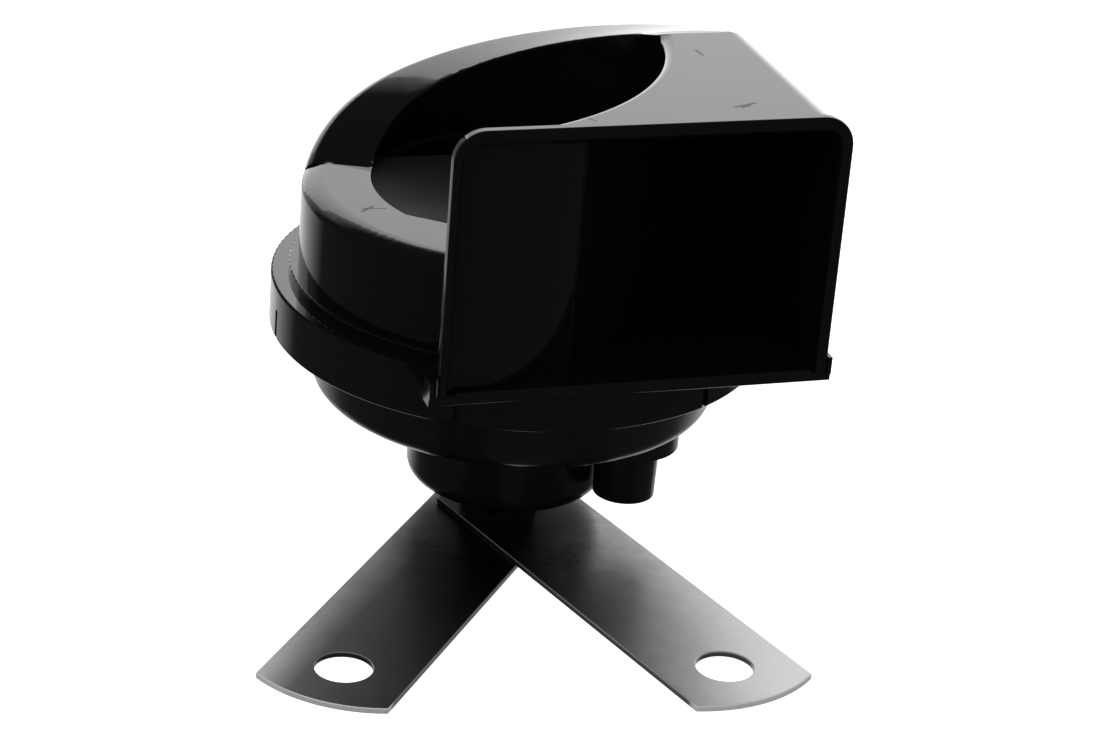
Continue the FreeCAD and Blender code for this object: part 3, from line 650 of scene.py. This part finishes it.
round_rim(shell, on_mouth_left, RIM_ROUNDING, 3)
round_rim(shell, on_ramp_rim, WELL_ROUNDING, 3)
round_rim(shell, on_roof_rim, ROOF_ROUNDING, 5)
finished("trumpet_shell", shell, gloss, "horn", ["snail_shell"])

# %% [markdown]
# ## Sheared edges of the strips
#
# A strip cut from plate has a bright burnished edge that turns over by a fifth of a millimetre.
# That small round is what draws the thin light line along it, so each strip is a copy of its
# frame piece with every sharp edge bevelled. A Bevel modifier could do this too, but the copy
# has to be merged as a bmesh in any case.

# %% Strips with turned-over edges
EDGE_ROUND = 0.18
strip_body = {"bracket_right": "right_strip", "bracket_left": "left_strip"}
for name, body in strip_body.items():
    strip = merged_copy(name)
    sharp = [edge for edge in strip.edges if is_sharp(edge)]
    round_edges(strip, sharp, EDGE_ROUND * MM, 3)
    finished(name + "_plated", strip, strip_finish[name], body, [name])

# %% [markdown]
# ## Floor and light
#
# The horn hangs well above a pale floor. The white side of the studio lies behind the horn, and
# the side of the camera is dark, so the black mouldings stay black in front and turn bright
# only where they mirror the white.

# %% Floor


def stage_plane(name, corners):
    """One flat face that belongs to the studio."""
    mesh = bpy.data.meshes.new(name)
    mesh.from_pydata(corners, [], [(0, 1, 2, 3)])
    plane = bpy.data.objects.new(name, mesh)
    bpy.context.scene.collection.objects.link(plane)
    return plane


FLOOR_LEVEL = -0.30
SPREAD = 6.0
floor = stage_plane("floor", [
    (-SPREAD, -SPREAD, FLOOR_LEVEL),
    (SPREAD, -SPREAD, FLOOR_LEVEL),
    (SPREAD, SPREAD, FLOOR_LEVEL),
    (-SPREAD, SPREAD, FLOOR_LEVEL),
])
floor_paint = Graph("pale_floor")
seen = floor_paint.node("LightPath", "Is Camera Ray")
floor_paint.set(
    Base_Color=(0.9, 0.9, 0.9, 1),
    Roughness=0.9,
    Emission_Color=seen * 0.7,
    Emission_Strength=1.0,
)
floor.data.materials.append(floor_paint.material)
floor.visible_glossy = False
print("floor at", FLOOR_LEVEL, "m")

# %% [markdown]
# A white backdrop could stand round the horn, but a world that answers each kind of ray is
# lighter to render. The camera sees plain white. A polished face mirrors a white side and a
# dark side, with soft steps between them, and every other ray gets an even grey.

# %% World
world = bpy.data.worlds.new("studio")
world.use_nodes = True
bpy.context.scene.world = world
sky = world.node_tree
sky.nodes.clear()


class Sky(Graph):
    """The same helper on the world's node tree."""

    def __init__(self, tree):
        self.tree = tree


air = Sky(sky)
heading = air.node("TexCoord", "Generated")
dx, dy, dz = [air.node("SeparateXYZ", axis, Vector=heading) for axis in range(3)]
WHITE_SIDE = math.radians(70.0)
level = (dx * dx + dy * dy).root() + 0.001
facing = (dx * math.cos(WHITE_SIDE) + dy * math.sin(WHITE_SIDE)) / level


def step_up(value, start, end):
    """Soft step from 0 at start to 1 at end."""
    return ((value - start) / (end - start)).clamp()


sideways = step_up(facing, 0.52, 0.90)
upward = step_up(dz, 0.70, 0.56)
behind = sideways * upward
camera_ray = air.node("LightPath", "Is Camera Ray")
glossy_ray = air.node("LightPath", "Is Glossy Ray")
MIRROR_DARK = 0.06
FILL_LEVEL = 0.55
mirrored = MIRROR_DARK + behind * (1 - MIRROR_DARK)
lit = glossy_ray * mirrored + (1 - glossy_ray) * FILL_LEVEL
tone = camera_ray + (1 - camera_ray) * lit
background = air.node("Background", Color=tone.clamp(), Strength=1.0)
output = sky.nodes.new("ShaderNodeOutputWorld")
air.link(background, output.inputs["Surface"])
print("world nodes:", len(sky.nodes))

# %% [markdown]
# Two soft lamps give the light a direction. The wide one stands behind the horn, across from
# the camera, and the small one hangs high on the left and isn't mirrored. A brighter world would
# light the horn as much, but from all sides at once, which flattens its forms.

# %% Lamps


def soft_lamp(name, place, target, width, height, power):
    """Rectangular lamp in metres and watts that looks at a point."""
    data = bpy.data.lights.new(name, "AREA")
    data.shape = "RECTANGLE"
    data.size = width
    data.size_y = height
    data.energy = power
    lamp = bpy.data.objects.new(name, data)
    bpy.context.scene.collection.objects.link(lamp)
    lamp.location = place
    lamp.rotation_euler = (target - place).to_track_quat("-Z", "Y").to_euler()
    lamp.visible_camera = False
    return lamp


middle = AXIS + Vector((0, 0, 0.045))
soft_lamp("rear_light", middle + Vector((0.50, 1.36, 0.40)), middle, 2.4, 1.25, 9.4)
top_lamp = soft_lamp("top_light", middle + Vector((-0.5, -0.2, 1.3)), middle, 0.8, 0.8, 5.0)
top_lamp.visible_glossy = False

# %% [markdown]
# ## Picture settings
#
# The plain Standard view shows colours as they are written, where a filmic one would bend them.

# %% Finish
bpy.context.scene.view_settings.view_transform = "Standard"
